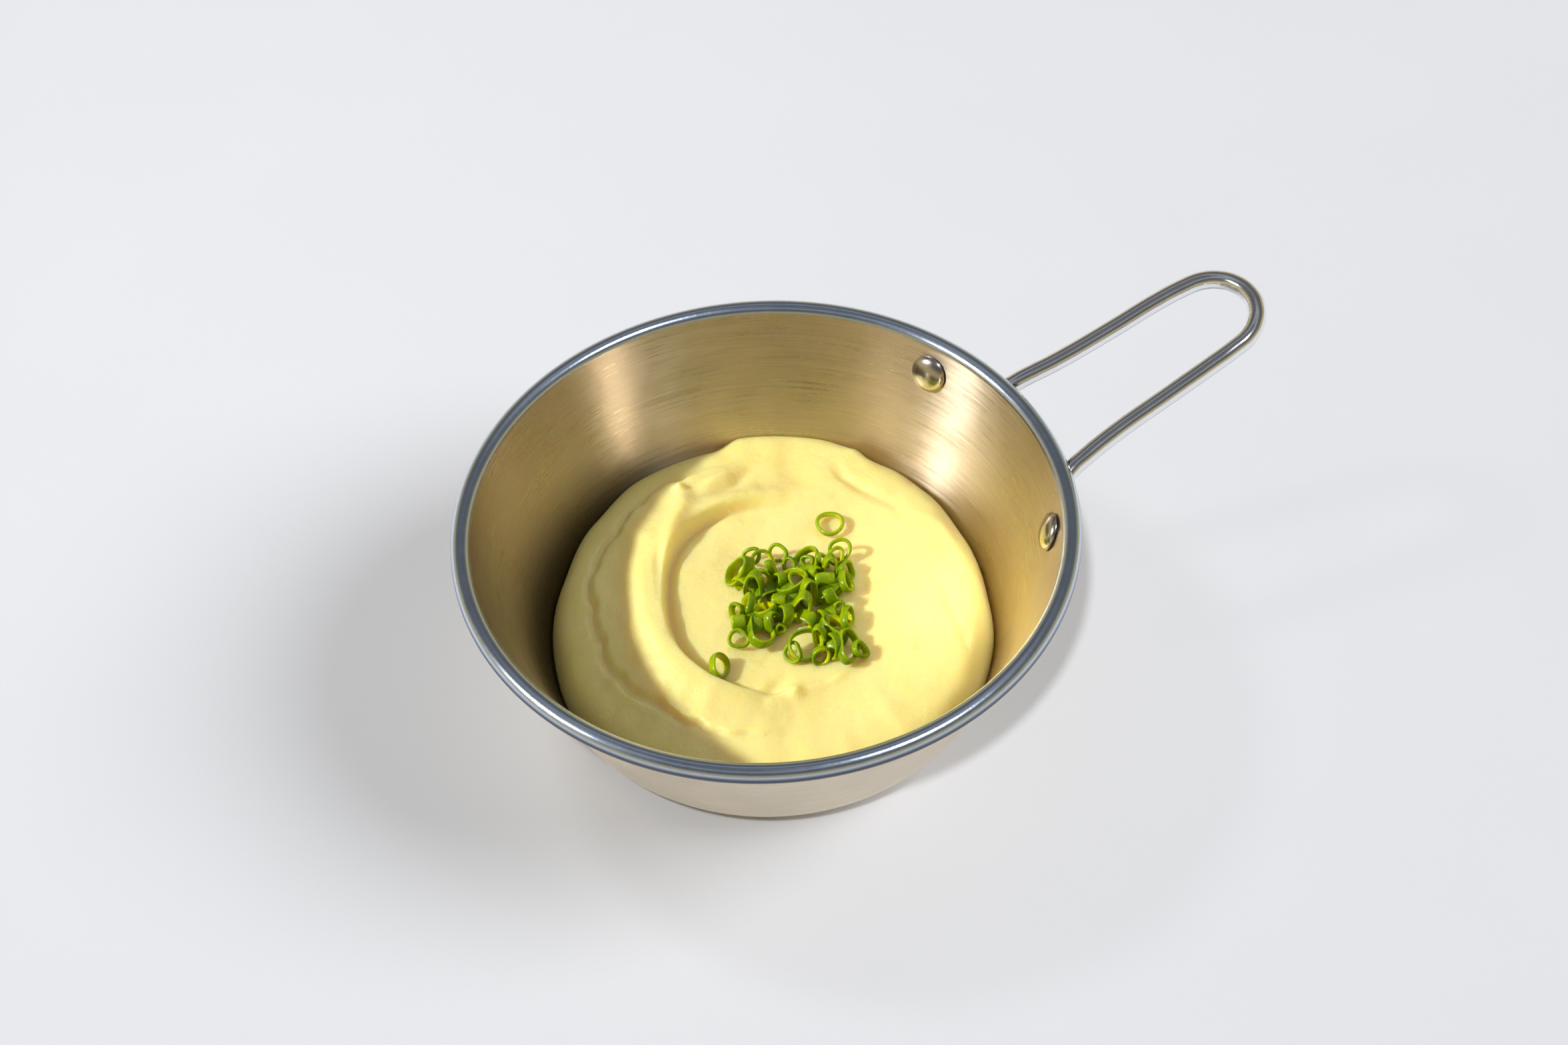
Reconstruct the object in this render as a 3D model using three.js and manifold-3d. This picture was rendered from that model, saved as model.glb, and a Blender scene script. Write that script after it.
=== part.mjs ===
// A side of mashed potato with chopped spring onion, served in a small round steel
// bowl with a rolled lip and a riveted wire handle.
// Millimetres, +Z up. The origin is the centre of the bowl's flat underside, and the
// handle points along +X.

import * as THREE from 'three';
import { mergeVertices } from 'three/addons/utils/BufferGeometryUtils.js';
import Module from 'manifold-3d';

const wasm = await Module();
wasm.setup();

// Clearance between pieces that touch
const GAP = 0.3;

// Bowl: a pressed steel shell whose lip is rolled outwards into a bead
const SHEET = 0.8;
const BEAD_RADIUS = 2.0;
const BEAD_CENTRE = 60.5;
const LIP_HEIGHT = 43.0;
const WALL_SLOPE = 0.4;
const FOOT_FILLET = 18.0;
const BOWL_SEGMENTS = 60;
const FILLET_STEPS = 4;
const BEAD_STEPS = 12;

// Handle: round wire bent to a long U, its two ends hammered flat for the rivets
const WIRE_RADIUS = 1.9;
const WIRE_SIDES = 10;
const WIRE_STATIONS = 50;
const PADDLE_HALF_LENGTH = 4.4;
const PADDLE_HALF_WIDTH = 3.0;
const PADDLE_HALF_THICKNESS = 1.1;
const PADDLE_NECK = 5.0;
const PADDLE_DROP = 5.4;
const LEG_REACH = 102.0;
const LEG_RISE = 8.1;
const BEND_RADIUS = 9.9;
const BEND_RISE = 0.23;

// Rivets: a domed head inside the bowl, a shank, and a smaller head outside
const RIVET_TURN = THREE.MathUtils.degToRad(26);
const RIVET_DROP = 4.8;
const SHANK_RADIUS = 1.3;
const HEAD_RADIUS = 3.9;
const HEAD_HEIGHT = 1.5;
const HEAD_CLEARANCE = 0.45;
const TAIL_RADIUS = 2.9;
const TAIL_HEIGHT = 1.1;
const RIVET_SEGMENTS = 14;
const DOME_STEPS = 3;

// Food: the whole serving is turned in the bowl, away from the handle
const SERVING_TURN = THREE.MathUtils.degToRad(-25);

// Mash: heights are measured up from the bowl's underside
const MASH_LEVEL = 19.5;
const EDGE_ROLL = 1.9;
const MASH_SECTORS = 80;
const MASH_RINGS = 22;

// Hollow pressed by the back of a spoon, and the ridge thrown up along its left side
const HOLLOW = { x: 4.2, y: 2.0, radius: 25.3, power: 2.4 };
const RIDGE_FACING = THREE.MathUtils.degToRad(183);
const RIDGE_HEIGHT = 2.9;
const RIDGE_FACE = 0.8;
const RIDGE_FLANK = 6.5;

// The fold at the far left: a ragged step down towards the wall, with a groove at its foot
const FOLD = { x: 1.0, y: 3.5, radius: 36.8, step: 1.7, width: 0.7 };
const FOLD_GROOVE = { depth: 0.7, width: 0.9 };
const FOLD_WAVE = { height: 0.5, count: 9 };

// Spring onion: short tubes cut across the leaf
const ONION_RADIUS = 2.8;
const ONION_WALL = 0.85;
const ONION_LENGTH = 1.9;
const ONION_SEGMENTS = 8;

const STEEL = { color: 0xaeb4bb, metalness: 1.0, roughness: 0.25 };
const BRUSHED_STEEL = { color: 0xb9b6ae, metalness: 1.0, roughness: 0.4 };
const MASH = { color: 0xf5dd8c, metalness: 0.0, roughness: 0.5 };
const GREEN = { color: 0x5f9a1c, metalness: 0.0, roughness: 0.4 };

// Numbers that follow from the ones above
const SLANT = Math.hypot(1, WALL_SLOPE);
const INNER_AT_LIP = BEAD_CENTRE - BEAD_RADIUS * SLANT;
const OUTER_AT_LIP = INNER_AT_LIP + SHEET * SLANT;
const FILLET_CENTRE = OUTER_AT_LIP - WALL_SLOPE * (LIP_HEIGHT - FOOT_FILLET) - FOOT_FILLET * SLANT;
const WALL_TILT = Math.atan(WALL_SLOPE);

function smooth(from, to, value) {
  return THREE.MathUtils.smoothstep(value, from, to);
}

// Joining and cutting

function toSolid(geometry) {
  const bare = geometry.clone();
  for (const name of ['normal', 'uv']) bare.deleteAttribute(name);
  const merged = mergeVertices(bare, 1e-4);
  const index = merged.index.array;
  const corners = [];
  for (let i = 0; i < index.length; i += 3) {
    const [a, b, c] = [index[i], index[i + 1], index[i + 2]];
    if (a !== b && b !== c && c !== a) corners.push(a, b, c);
  }
  return new wasm.Manifold(new wasm.Mesh({
    numProp: 3,
    vertProperties: new Float32Array(merged.attributes.position.array),
    triVerts: new Uint32Array(corners),
  }));
}

function toMesh(name, solid, finish) {
  const mesh = solid.getMesh();
  const geometry = new THREE.BufferGeometry();
  geometry.setAttribute('position', new THREE.BufferAttribute(mesh.vertProperties, 3));
  geometry.setIndex(new THREE.BufferAttribute(mesh.triVerts, 1));
  geometry.computeVertexNormals();
  const result = new THREE.Mesh(geometry, new THREE.MeshStandardMaterial(finish));
  result.name = name;
  return result;
}

function union(solids) {
  return solids.reduce((sum, solid) => sum.add(solid));
}

function arc(centreR, centreZ, radius, from, to, steps) {
  return Array.from({ length: steps + 1 }, (_, i) => {
    const angle = from + ((to - from) * i) / steps;
    return new THREE.Vector2(centreR + radius * Math.cos(angle), centreZ + radius * Math.sin(angle));
  });
}

// A profile of radius and height, spun round the Z axis
function spin(profile, segments) {
  return new THREE.LatheGeometry(profile, segments).rotateX(Math.PI / 2);
}

// Bowl

function bowlInnerRadius(z, inset = 0) {
  const wallFoot = FOOT_FILLET - FOOT_FILLET * Math.sin(WALL_TILT);
  if (z > wallFoot) return INNER_AT_LIP - WALL_SLOPE * (LIP_HEIGHT - z) - inset * SLANT;
  const radius = FOOT_FILLET - SHEET - inset;
  const drop = FOOT_FILLET - z;
  return FILLET_CENTRE + Math.sqrt(Math.max(radius * radius - drop * drop, 0));
}

function bowlOuterRadius(z) {
  return OUTER_AT_LIP - WALL_SLOPE * (LIP_HEIGHT - z);
}

function bowlShell() {
  const underLip = Math.acos((BEAD_RADIUS - SHEET) / BEAD_RADIUS);
  const wallSide = Math.PI - WALL_TILT;
  const profile = [
    new THREE.Vector2(0, 0),
    ...arc(FILLET_CENTRE, FOOT_FILLET, FOOT_FILLET, -Math.PI / 2, -WALL_TILT, FILLET_STEPS),
    ...arc(BEAD_CENTRE, LIP_HEIGHT, BEAD_RADIUS, wallSide + underLip - 2 * Math.PI, wallSide, BEAD_STEPS),
    ...arc(FILLET_CENTRE, FOOT_FILLET, FOOT_FILLET - SHEET, -WALL_TILT, -Math.PI / 2, FILLET_STEPS),
    new THREE.Vector2(0, SHEET),
  ];
  return toSolid(spin(profile, BOWL_SEGMENTS));
}

// The rivets' line: through the wall, square to it, at the given side of the handle
function rivetFrame(side) {
  const turn = side * RIVET_TURN;
  const z = LIP_HEIGHT - RIVET_DROP;
  const r = bowlOuterRadius(z);
  const outward = new THREE.Vector3(Math.cos(turn) / SLANT, Math.sin(turn) / SLANT, -WALL_SLOPE / SLANT);
  const along = new THREE.Vector3(-Math.sin(turn), Math.cos(turn), 0);
  const upWall = new THREE.Vector3().crossVectors(outward, along);
  const frame = new THREE.Matrix4().makeBasis(along, upWall.clone().negate(), outward);
  if (frame.determinant() < 0) frame.makeBasis(along, upWall, outward);
  return frame.setPosition(r * Math.cos(turn), r * Math.sin(turn), z);
}

function rivetHole(side) {
  const length = 12;
  const drill = new THREE.CylinderGeometry(SHANK_RADIUS + GAP, SHANK_RADIUS + GAP, length, RIVET_SEGMENTS);
  return toSolid(drill.rotateX(Math.PI / 2).applyMatrix4(rivetFrame(side)));
}

function rivet(side) {
  const inside = -SHEET - HEAD_CLEARANCE;
  const outside = GAP + 2 * PADDLE_HALF_THICKNESS + GAP;
  const dome = (radius, height, base, direction) =>
    Array.from({ length: DOME_STEPS + 1 }, (_, i) => {
      const angle = (i / DOME_STEPS) * (Math.PI / 2);
      return new THREE.Vector2(radius * Math.sin(angle), base + direction * height * Math.cos(angle));
    });
  const profile = [
    ...dome(HEAD_RADIUS, HEAD_HEIGHT, inside, -1),
    new THREE.Vector2(SHANK_RADIUS, inside),
    new THREE.Vector2(SHANK_RADIUS, outside),
    ...dome(TAIL_RADIUS, TAIL_HEIGHT, outside, 1).reverse(),
  ];
  return toSolid(spin(profile, RIVET_SEGMENTS).applyMatrix4(rivetFrame(side)));
}

// Handle

function paddleCentre(side) {
  const z = LIP_HEIGHT - PADDLE_DROP;
  const r = bowlOuterRadius(z) + (GAP + PADDLE_HALF_THICKNESS) * SLANT;
  return new THREE.Vector3(r * Math.cos(side * RIVET_TURN), r * Math.sin(side * RIVET_TURN), z);
}

// Half of the wire's middle line, from one hammered end out to the bend's middle
function handleHalf() {
  const paddle = paddleCentre(1);
  const along = new THREE.Vector3(-Math.sin(RIVET_TURN), Math.cos(RIVET_TURN), 0);
  const tip = paddle.clone().addScaledVector(along, PADDLE_HALF_LENGTH);
  const points = [
    tip,
    paddle,
    new THREE.Vector3(56.9, 18.6, LIP_HEIGHT - 4.9),
    new THREE.Vector3(60.2, 14.2, LIP_HEIGHT - 4.4),
    new THREE.Vector3(62.6, 13.0, LIP_HEIGHT - 3.7),
    new THREE.Vector3(65.8, 12.5, LIP_HEIGHT - 2.5),
    new THREE.Vector3(73.3, 11.5, LIP_HEIGHT - 0.3),
    new THREE.Vector3(86.0, 10.8, LIP_HEIGHT + 3.4),
    new THREE.Vector3(96.0, 10.4, LIP_HEIGHT + 6.5),
  ];
  const onBend = (degrees) => {
    const angle = THREE.MathUtils.degToRad(degrees);
    const beyond = BEND_RADIUS * Math.sin(angle);
    const z = LIP_HEIGHT + LEG_RISE + BEND_RISE * beyond;
    return new THREE.Vector3(LEG_REACH + beyond, BEND_RADIUS * Math.cos(angle), z);
  };
  return { points: [...points, ...[0, 22.5, 45, 67.5].map(onBend)], middle: onBend(90) };
}

function handleWire() {
  const { points, middle } = handleHalf();
  const mirrored = points.map((p) => new THREE.Vector3(p.x, -p.y, p.z)).reverse();
  const curve = new THREE.CatmullRomCurve3([...points, middle, ...mirrored], false, 'centripetal');
  const total = curve.getLength();
  const positions = [];
  const indices = [];
  for (let i = 0; i <= WIRE_STATIONS; i += 1) {
    const centre = curve.getPointAt(i / WIRE_STATIONS);
    const tangent = curve.getTangentAt(i / WIRE_STATIONS);
    const fromTip = Math.min(i, WIRE_STATIONS - i) * (total / WIRE_STATIONS);
    const flat = 1 - smooth(2 * PADDLE_HALF_LENGTH - 1, 2 * PADDLE_HALF_LENGTH + PADDLE_NECK, fromTip);
    const round = fromTip < PADDLE_HALF_LENGTH
      ? Math.sqrt(Math.max(1 - (1 - fromTip / PADDLE_HALF_LENGTH) ** 2, 0.04)) : 1;
    const halfWidth = THREE.MathUtils.lerp(WIRE_RADIUS, PADDLE_HALF_WIDTH * round, flat);
    const halfThickness = THREE.MathUtils.lerp(WIRE_RADIUS, PADDLE_HALF_THICKNESS, flat);
    const turn = Math.atan2(centre.y, centre.x);
    const outward = new THREE.Vector3(Math.cos(turn), Math.sin(turn), -WALL_SLOPE);
    const thick = outward.addScaledVector(tangent, -outward.dot(tangent)).normalize();
    const wide = new THREE.Vector3().crossVectors(tangent, thick);
    for (let k = 0; k < WIRE_SIDES; k += 1) {
      const angle = (k / WIRE_SIDES) * 2 * Math.PI;
      const point = centre.clone()
        .addScaledVector(thick, halfThickness * Math.cos(angle))
        .addScaledVector(wide, halfWidth * Math.sin(angle));
      positions.push(point.x, point.y, point.z);
    }
  }
  const ring = (i, k) => i * WIRE_SIDES + (k % WIRE_SIDES);
  for (let i = 0; i < WIRE_STATIONS; i += 1) {
    for (let k = 0; k < WIRE_SIDES; k += 1) {
      indices.push(ring(i, k), ring(i, k + 1), ring(i + 1, k));
      indices.push(ring(i, k + 1), ring(i + 1, k + 1), ring(i + 1, k));
    }
  }
  for (let k = 1; k < WIRE_SIDES - 1; k += 1) {
    indices.push(ring(0, 0), ring(0, k + 1), ring(0, k));
    indices.push(ring(WIRE_STATIONS, 0), ring(WIRE_STATIONS, k), ring(WIRE_STATIONS, k + 1));
  }
  const geometry = new THREE.BufferGeometry();
  geometry.setAttribute('position', new THREE.Float32BufferAttribute(positions, 3));
  geometry.setIndex(indices);
  return toSolid(geometry);
}

// Mash

function hill(x, y, centreX, centreY, width) {
  return Math.exp(-((x - centreX) ** 2 + (y - centreY) ** 2) / width ** 2);
}

// Distance to a broken line, and how far along it the nearest point lies (0 to 1)
function nearLine(x, y, points) {
  let best = { distance: Infinity, along: 0 };
  for (let i = 0; i < points.length - 1; i += 1) {
    const [ax, ay] = points[i];
    const [bx, by] = points[i + 1];
    const length2 = (bx - ax) ** 2 + (by - ay) ** 2;
    const t = THREE.MathUtils.clamp(((x - ax) * (bx - ax) + (y - ay) * (by - ay)) / length2, 0, 1);
    const distance = Math.hypot(x - ax - t * (bx - ax), y - ay - t * (by - ay));
    if (distance < best.distance) best = { distance, along: (i + t) / (points.length - 1) };
  }
  return best;
}

// A crest or crease along a line, highest at its middle and fading at both ends
function crest(x, y, points, width) {
  const { distance, along } = nearLine(x, y, points);
  return Math.exp(-((distance / width) ** 2)) * Math.sin(Math.PI * (0.12 + 0.76 * along));
}

const CRESTS = [
  // the ridge's rounded end, its second crest and the valley between them
  { height: 1.7, width: 2.1, points: [[-17.2, 31.5], [-16.6, 27.0], [-18.8, 21.0], [-21.5, 14.0]] },
  { height: 0.6, width: 1.8, points: [[-24.6, 18.4], [-26.4, 8.0], [-25.6, -3.0], [-19.5, -18.5]] },
  { height: -0.6, width: 0.9, points: [[-21.7, 19.8], [-22.4, 11.0], [-22.3, 0.3]] },
  // lumps and folds beyond the ridge's end, and the soft upper wall of the hollow
  { height: 1.1, width: 1.7, points: [[-13.0, 32.5], [-10.1, 34.2], [-5.0, 37.5]] },
  { height: -0.9, width: 1.2, points: [[-10.5, 29.5], [-6.5, 32.0], [-2.3, 37.0]] },
  { height: 0.8, width: 2.4, points: [[-12.0, 25.5], [-3.0, 29.0], [8.0, 30.0]] },
  { height: -0.5, width: 2.0, points: [[-13.5, 20.5], [-9.0, 23.5], [-3.0, 25.5], [4.0, 26.0]] },
  // a lump at the far right, with the crease that runs round it
  { height: 1.4, width: 2.4, points: [[17.5, 41.5], [21.8, 40.1], [23.1, 36.0]] },
  { height: -0.9, width: 1.2, points: [[15.5, 37.0], [16.4, 34.0], [19.5, 31.0], [26.9, 24.9]] },
  // faint strokes of the spoon down the right side
  { height: 0.6, width: 1.5, points: [[30.4, 22.9], [36.1, 19.4], [39.7, 12.6], [42.2, 4.1]] },
  { height: -0.5, width: 0.9, points: [[34.0, 4.0], [36.7, -4.0], [38.5, -9.9], [39.1, -14.0]] },
  // the near edge of the hollow
  { height: 0.9, width: 1.5, points: [[1.5, -22.8], [4.1, -23.0], [8.0, -21.8]] },
  { height: -0.9, width: 1.4, points: [[-2.5, -24.5], [-0.3, -21.8], [2.0, -19.5]] },
  { height: 0.5, width: 1.0, points: [[7.2, -22.0], [11.2, -20.9], [13.9, -18.8], [15.4, -16.6]] },
  { height: 0.6, width: 1.6, points: [[-34.0, -14.0], [-29.5, -21.0], [-22.0, -27.0]] },
];

// Small points drawn up where the spoon left the mash: height, width and place
const TIPS = [
  { height: 1.8, width: 1.1, x: -17.6, y: 31.6 },
  { height: 1.0, width: 1.3, x: 4.1, y: -23.2 },
  { height: 0.6, width: 1.1, x: 27.7, y: -13.6 },
];

// The line where the mash meets the wall: degrees round the bowl and height
const TIDE = [
  [-172, 10.0], [-150, 11.5], [-115, 14.0], [-75, 15.5], [-30, 14.0], [-14, 12.0], [5, 11.0],
  [25, 12.5], [42, 14.4], [54, 15.3], [60, 14.8], [65, 16.9], [76, 17.6], [95, 17.7], [103, 15.3],
  [124, 15.4], [142, 13.3], [162, 10.9], [188, 10.0],
];

function contactHeight(turn) {
  const degrees = THREE.MathUtils.euclideanModulo(THREE.MathUtils.radToDeg(turn) + 172, 360) - 172;
  const next = TIDE.findIndex(([mark]) => mark > degrees);
  const [[fromMark, fromHeight], [toMark, toHeight]] = [TIDE[next - 1], TIDE[next]];
  return THREE.MathUtils.lerp(fromHeight, toHeight, smooth(fromMark, toMark, degrees));
}

function mashHeight(x, y) {
  const r = Math.hypot(x, y);
  const turn = Math.atan2(y, x);
  const contact = contactHeight(turn);
  const edge = bowlInnerRadius(contact, GAP);
  const left = smooth(0.2, -0.9, Math.cos(turn));
  let z = MASH_LEVEL;

  const hx = x - HOLLOW.x;
  const hy = y - HOLLOW.y;
  const hollowR = (Math.abs(hx) ** HOLLOW.power + Math.abs(hy) ** HOLLOW.power) ** (1 / HOLLOW.power);
  const past = hollowR - HOLLOW.radius;
  const facing = Math.cos(Math.atan2(hy, hx) - RIDGE_FACING);
  const flank = Math.exp(-((Math.max(past - RIDGE_FACE, 0) / RIDGE_FLANK) ** 2));
  z += RIDGE_HEIGHT * smooth(-0.1, 0.75, facing) * smooth(-RIDGE_FACE, RIDGE_FACE, past) * flank;

  const wave = FOLD_WAVE.height * Math.sin(FOLD_WAVE.count * Math.atan2(y - FOLD.y, x - FOLD.x));
  const foldPast = Math.hypot(x - FOLD.x, y - FOLD.y) - FOLD.radius - wave;
  z += FOLD.step * left * (smooth(FOLD.width, -FOLD.width, foldPast) - 0.5);
  z -= FOLD_GROOVE.depth * left * Math.exp(-(((foldPast - FOLD.width) / FOLD_GROOVE.width) ** 2));

  for (const { height, width, points } of CRESTS) z += height * crest(x, y, points, width);
  for (const tip of TIPS) z += tip.height * hill(x, y, tip.x, tip.y, tip.width);

  const margin = Math.max(edge - r, 0);
  const rolled = Math.exp(-margin / EDGE_ROLL);
  return THREE.MathUtils.lerp(z, contact, rolled);
}

// The mash from the bowl's floor up to its surface
function mashSolid() {
  const positions = [0, 0, mashHeight(0, 0)];
  const indices = [];
  const bodyShares = [0.8, 0.5, 0.25, 0.1, 0];
  const floor = SHEET + GAP;
  const rings = MASH_RINGS + bodyShares.length;
  for (let i = 1; i <= rings; i += 1) {
    for (let k = 0; k < MASH_SECTORS; k += 1) {
      const turn = (k / MASH_SECTORS) * 2 * Math.PI;
      const brim = bowlInnerRadius(contactHeight(turn), GAP);
      const share = Math.min(i / MASH_RINGS, 1);
      let r = brim * (1 - (1 - share) ** 1.12);
      let z = mashHeight(r * Math.cos(turn), r * Math.sin(turn));
      if (i > MASH_RINGS) z = floor + (z - floor) * bodyShares[i - MASH_RINGS - 1];
      if (i >= MASH_RINGS) r = bowlInnerRadius(z, GAP);
      positions.push(r * Math.cos(turn), r * Math.sin(turn), z);
    }
  }
  const last = positions.length / 3;
  positions.push(0, 0, floor);
  const at = (i, k) => 1 + (i - 1) * MASH_SECTORS + (k % MASH_SECTORS);
  for (let k = 0; k < MASH_SECTORS; k += 1) {
    indices.push(0, at(1, k), at(1, k + 1));
    indices.push(last, at(rings, k + 1), at(rings, k));
    for (let i = 1; i < rings; i += 1) {
      indices.push(at(i, k), at(i + 1, k), at(i + 1, k + 1));
      indices.push(at(i, k), at(i + 1, k + 1), at(i, k + 1));
    }
  }
  const geometry = new THREE.BufferGeometry();
  geometry.setAttribute('position', new THREE.Float32BufferAttribute(positions, 3));
  geometry.setIndex(indices);
  return toSolid(geometry);
}

// Spring onion

// One cut ring: size is its radius against the usual one, oval how far it is squashed,
// tilt how far it leans, towards the turn's direction, and lift its middle's height over the mash
function onionRing({ x, y, lift, turn = 0, tilt = 0, size = 1, oval = 1, length = ONION_LENGTH }) {
  const outer = ONION_RADIUS * size;
  const inner = outer - ONION_WALL;
  const corners = [[inner, -1], [outer, -1], [outer, 1], [inner, 1], [inner, -1]];
  const profile = corners.map(([r, end]) => new THREE.Vector2(r, (end * length) / 2));
  const radians = THREE.MathUtils.degToRad;
  return toSolid(spin(profile, ONION_SEGMENTS)
    .scale(oval, 1 / oval, 1)
    .rotateY(radians(tilt))
    .rotateZ(radians(turn))
    .translate(x, y, mashHeight(x, y) + lift));
}

// The heap's patches: a low mound of its own under each, and the rings on it
const PATCHES = [
  { x: -0.5, y: 9.5, width: 4.0, rings: [
    { x: -3.1, y: 11.3, lift: 2.0, turn: 240, tilt: 50, size: 0.7, length: 1.1 },
    { x: -1.2, y: 9.6, lift: 2.3, turn: 290, tilt: 35, size: 0.9, length: 1.2 },
    { x: 2.1, y: 11.9, lift: 2.1, turn: 250, tilt: 45, size: 0.75, length: 1.2 },
  ] },
  { x: -3.8, y: 4.7, width: 4.6, rings: [
    { x: -5.9, y: 6.7, lift: 2.0, turn: 200, tilt: 60, size: 1.05, oval: 1.3, length: 3.2 },
    { x: -3.1, y: 2.2, lift: 2.1, turn: 250, tilt: 70, size: 1.0, oval: 1.3, length: 3.0 },
  ] },
  { x: 6.0, y: 6.5, width: 5.2, rings: [
    { x: 8.1, y: 9.2, lift: 2.3, turn: 200, tilt: 22, size: 1.05, length: 2.2 },
    { x: 4.6, y: 3.5, lift: 2.7, turn: 150, tilt: 15, size: 1.25, length: 2.2 },
  ] },
  { x: 13.8, y: 7.2, width: 4.8, rings: [
    { x: 15.0, y: 11.9, lift: 2.1, turn: 240, tilt: 45, size: 0.9, length: 1.1 },
    { x: 14.0, y: 10.0, lift: 2.3, turn: 280, tilt: 35, size: 0.72, length: 1.1 },
    { x: 12.7, y: 7.0, lift: 2.4, turn: 275, tilt: 75, size: 0.85, oval: 1.35, length: 2.4 },
    { x: 15.9, y: 6.5, lift: 2.0, turn: 330, tilt: 60, size: 0.75, length: 1.7 },
    { x: 15.6, y: 3.3, lift: 2.2, turn: 0, tilt: 60, size: 0.85, oval: 0.85, length: 1.7 },
  ] },
  { x: 6.0, y: -0.5, width: 5.4, rings: [
    { x: 2.0, y: -1.0, lift: 2.2, turn: 350, tilt: 85, size: 0.6, length: 3.2 },
    { x: 7.8, y: 0.0, lift: 2.6, turn: 300, tilt: 70, size: 1.0, oval: 1.3, length: 2.4 },
    { x: 6.6, y: -3.1, lift: 2.5, turn: 260, tilt: 80, size: 1.0, oval: 1.4, length: 3.2 },
    { x: 2.7, y: -4.9, lift: 1.8, turn: 200, tilt: 75, size: 0.9, oval: 1.2, length: 2.6 },
  ] },
  { x: 12.5, y: -1.0, width: 4.4, rings: [
    { x: 12.5, y: -1.2, lift: 2.4, turn: 20, tilt: 72, size: 0.85, oval: 1.3, length: 2.6 },
  ] },
  { x: -3.4, y: -5.0, width: 5.3, rings: [
    { x: -6.8, y: -3.3, lift: 1.7, turn: 200, tilt: 55, size: 0.7, length: 1.7 },
    { x: -6.5, y: -6.3, lift: 1.8, turn: 0, tilt: 85, size: 0.6, length: 3.2 },
    { x: -4.4, y: -1.9, lift: 2.2, turn: 180, tilt: 65, size: 0.8, length: 1.8 },
    { x: -1.1, y: -3.7, lift: 2.3, turn: 120, tilt: 30, size: 0.95, length: 2.2 },
    { x: -2.2, y: -9.1, lift: 2.0, turn: 20, tilt: 28, size: 1.2, oval: 0.85, length: 2.3 },
    { x: -6.7, y: -10.2, lift: 1.5, turn: 260, tilt: 30, size: 0.8, length: 1.3 },
  ] },
  { x: 12.4, y: -9.0, width: 4.8, rings: [
    { x: 12.5, y: -8.7, lift: 2.6, turn: 30, tilt: 30, size: 1.0, oval: 0.88, length: 2.3 },
    { x: 15.4, y: -6.3, lift: 2.2, turn: 350, tilt: 55, size: 0.85, oval: 0.8 },
    { x: 15.1, y: -13.4, lift: 2.3, turn: 350, tilt: 38, size: 1.15, oval: 0.8, length: 2.2 },
    { x: 17.4, y: -14.4, lift: 1.8, turn: 350, tilt: 55, size: 0.75, length: 1.7 },
  ] },
  { x: 7.6, y: -13.0, width: 4.4, rings: [
    { x: 6.5, y: -13.1, lift: 2.3, turn: 300, tilt: 22, size: 1.25, oval: 0.95, length: 2.1 },
    { x: 3.9, y: -14.2, lift: 1.8, turn: 215, tilt: 50, size: 0.8, length: 1.2 },
  ] },
];
const MOUND_HEIGHT = 2.3;
const BED = { x: 5, y: 1, half: 21, cells: 8, depth: 6, clearance: 1.6 * GAP };

function mound(x, y, width, height) {
  return toSolid(new THREE.SphereGeometry(1, 8, 4)
    .rotateX(Math.PI / 2)
    .scale(width, width, height)
    .translate(x, y, mashHeight(x, y)));
}

// What lies on the mash is cut off along this bed, which stands just clear of its surface
function bed() {
  const slab = new THREE.BoxGeometry(2 * BED.half, 2 * BED.half, BED.depth, BED.cells, BED.cells, 1);
  slab.translate(BED.x, BED.y, -BED.depth / 2);
  const position = slab.attributes.position;
  for (let i = 0; i < position.count; i += 1) {
    const surface = mashHeight(position.getX(i), position.getY(i)) + BED.clearance;
    position.setZ(i, position.getZ(i) + surface);
  }
  return toSolid(slab);
}

function onionHeap() {
  const solids = [];
  for (const { x, y, width, rings } of PATCHES) {
    solids.push(mound(x, y, width, MOUND_HEIGHT));
    for (const ring of rings) solids.push(onionRing(ring));
  }
  const bodies = union(solids).subtract(bed()).decompose();
  return bodies.reduce((largest, body) => (body.volume() > largest.volume() ? body : largest));
}

const LONE_RINGS = [
  { x: 13.3, y: 20.1, lift: 1.0, turn: 90, tilt: 4, size: 1.07, oval: 1.03, length: 1.2 },
  { x: -10.7, y: -17.0, lift: 1.6, turn: 330, tilt: 30, size: 0.95, oval: 0.92, length: 1.9 },
];

const food = new THREE.Group();
food.rotation.z = SERVING_TURN;
food.add(toMesh('mashed_potato', mashSolid(), MASH));
const heap = onionHeap();
food.add(toMesh('spring_onion_heap', heap, GREEN));
LONE_RINGS.forEach((ring, i) => {
  food.add(toMesh(`spring_onion_ring_${i + 1}`, onionRing(ring).subtract(bed()), GREEN));
});

const holes = [1, -1].map(rivetHole);
const part = new THREE.Group();
part.add(toMesh('bowl', bowlShell().subtract(union(holes)), BRUSHED_STEEL));
part.add(toMesh('handle', handleWire().subtract(union(holes)), STEEL));
part.add(toMesh('rivet_1', rivet(1), STEEL));
part.add(toMesh('rivet_2', rivet(-1), STEEL));
part.add(food);

export default part;
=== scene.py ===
# %% [markdown]
# # Mashed potato in a small steel bowl
# This lesson dresses a finished model of a side dish: smooth mashed potato, pressed with
# the back of a spoon and topped with chopped spring onion, in a round steel bowl with a
# wire handle. The model comes in as a fixed frame of plain solids. Each solid then gets
# either a better finish or a finely modelled piece that lies exactly where it lies.

# %% Load the frame
import math

import bpy
import numpy as np
from mathutils import Matrix, Vector, noise


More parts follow.
